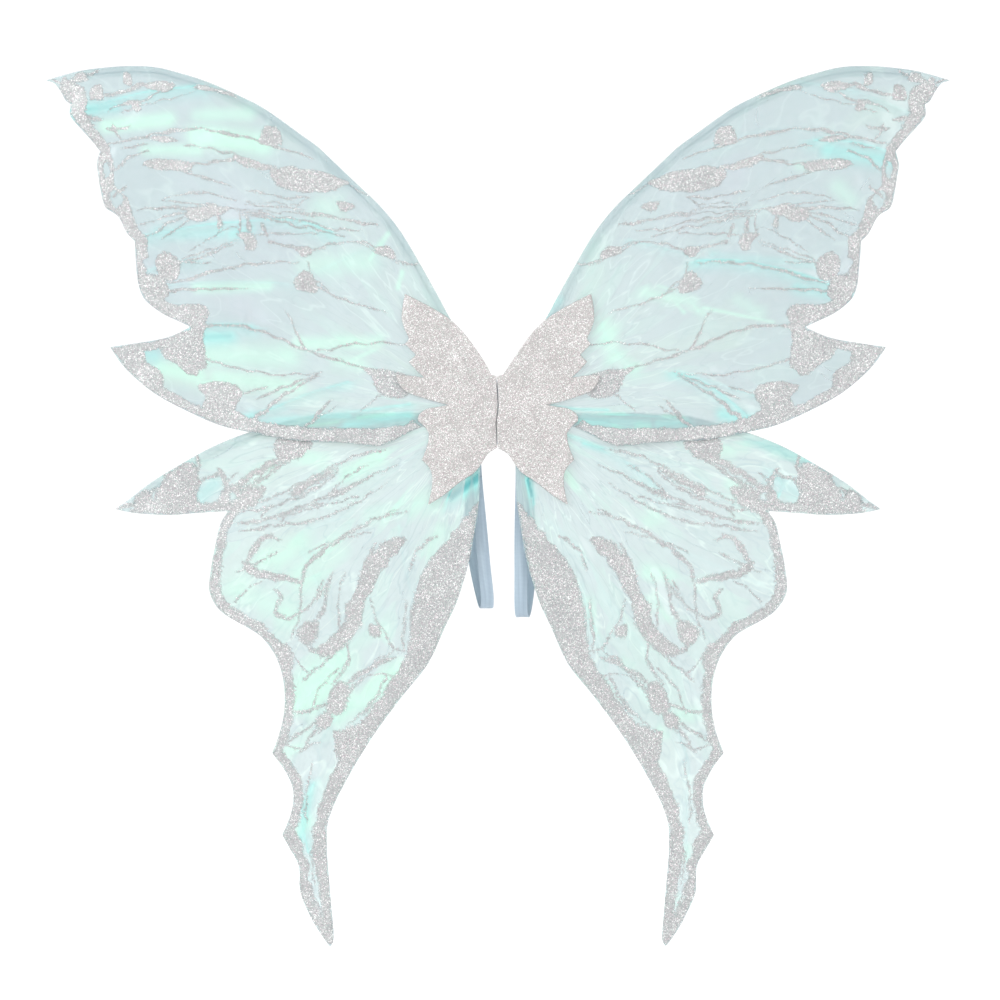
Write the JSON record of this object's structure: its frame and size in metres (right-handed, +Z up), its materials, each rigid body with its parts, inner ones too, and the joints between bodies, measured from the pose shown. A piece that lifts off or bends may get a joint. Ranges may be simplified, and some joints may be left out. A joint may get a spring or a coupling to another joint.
{
  "type": "fairy wings",
  "caption": "Costume fairy wings: folding film wings with a glitter print on wire frames, a foam butterfly centre, a back pad and elastic arm loops.",
  "frame": {"origin": "centre of the back pad's wearer-side face", "axes": "+Y toward the wearer, +Z up, +X to the right of a person who looks at the decorated side"},
  "size_m": [0.908, 0.0635, 0.881],
  "materials": {
    "film": "thin iridescent film, pale aqua with mint and teal tints",
    "print": "silver glitter bonded to the film",
    "glitter": "fine silver glitter sheet",
    "foam": "closed-cell craft foam, grey",
    "board": "stiff pale board",
    "tape": "cloth tape, white",
    "wire": "drawn steel wire",
    "cap": "soft white end cap",
    "pad": "pale blue plain-weave cloth over thin padding",
    "web": "grey cloth strip",
    "elastic": "ribbed pale blue elastic webbing"
  },
  "bodies": {
    "harness": {"back_pad": "pad", "pad_base": "board", "spine_web": "web", "strap_tabs_right": "elastic", "strap_tabs_left": "elastic"},
    "wing_right": {"cover_glitter_right": "glitter", "cover_foam_right": "foam", "backing_right": "board", "root_tape_right": "tape", "upper_film_right": "film", "upper_print_right": "print", "upper_hem_right": "film", "upper_wire_right": "wire", "upper_wire_cap_right": "cap", "lower_film_right": "film", "lower_print_right": "print", "lower_hem_right": "film", "lower_wire_right": "wire", "lower_wire_cap_right": "cap"},
    "wing_left": {"cover_glitter_left": "glitter", "cover_foam_left": "foam", "backing_left": "board", "root_tape_left": "tape", "upper_film_left": "film", "upper_print_left": "print", "upper_hem_left": "film", "upper_wire_left": "wire", "upper_wire_cap_left": "cap", "lower_film_left": "film", "lower_print_left": "print", "lower_hem_left": "film", "lower_wire_left": "wire", "lower_wire_cap_left": "cap"},
    "strap_right": {"strap_right": "elastic"},
    "strap_left": {"strap_left": "elastic"}
  },
  "joints": [
    {"name": "wing_fold_right", "type": "hinge", "parent": "harness", "child": "wing_right", "pos_m": [0, -0.0139, 0], "axis": [0, 0, -1], "range_deg": [0, 85]},
    {"name": "wing_fold_left", "type": "hinge", "parent": "harness", "child": "wing_left", "pos_m": [0, -0.0139, 0], "axis": [0, 0, 1], "range_deg": [0, 85]},
    {"name": "strap_swing_right", "type": "hinge", "parent": "harness", "child": "strap_right", "pos_m": [0.024, -0.002, 0], "axis": [0, 0, -1], "range_deg": [-10, 40]},
    {"name": "strap_swing_left", "type": "hinge", "parent": "harness", "child": "strap_left", "pos_m": [-0.024, -0.002, 0], "axis": [0, 0, 1], "range_deg": [-10, 40]}
  ]
}
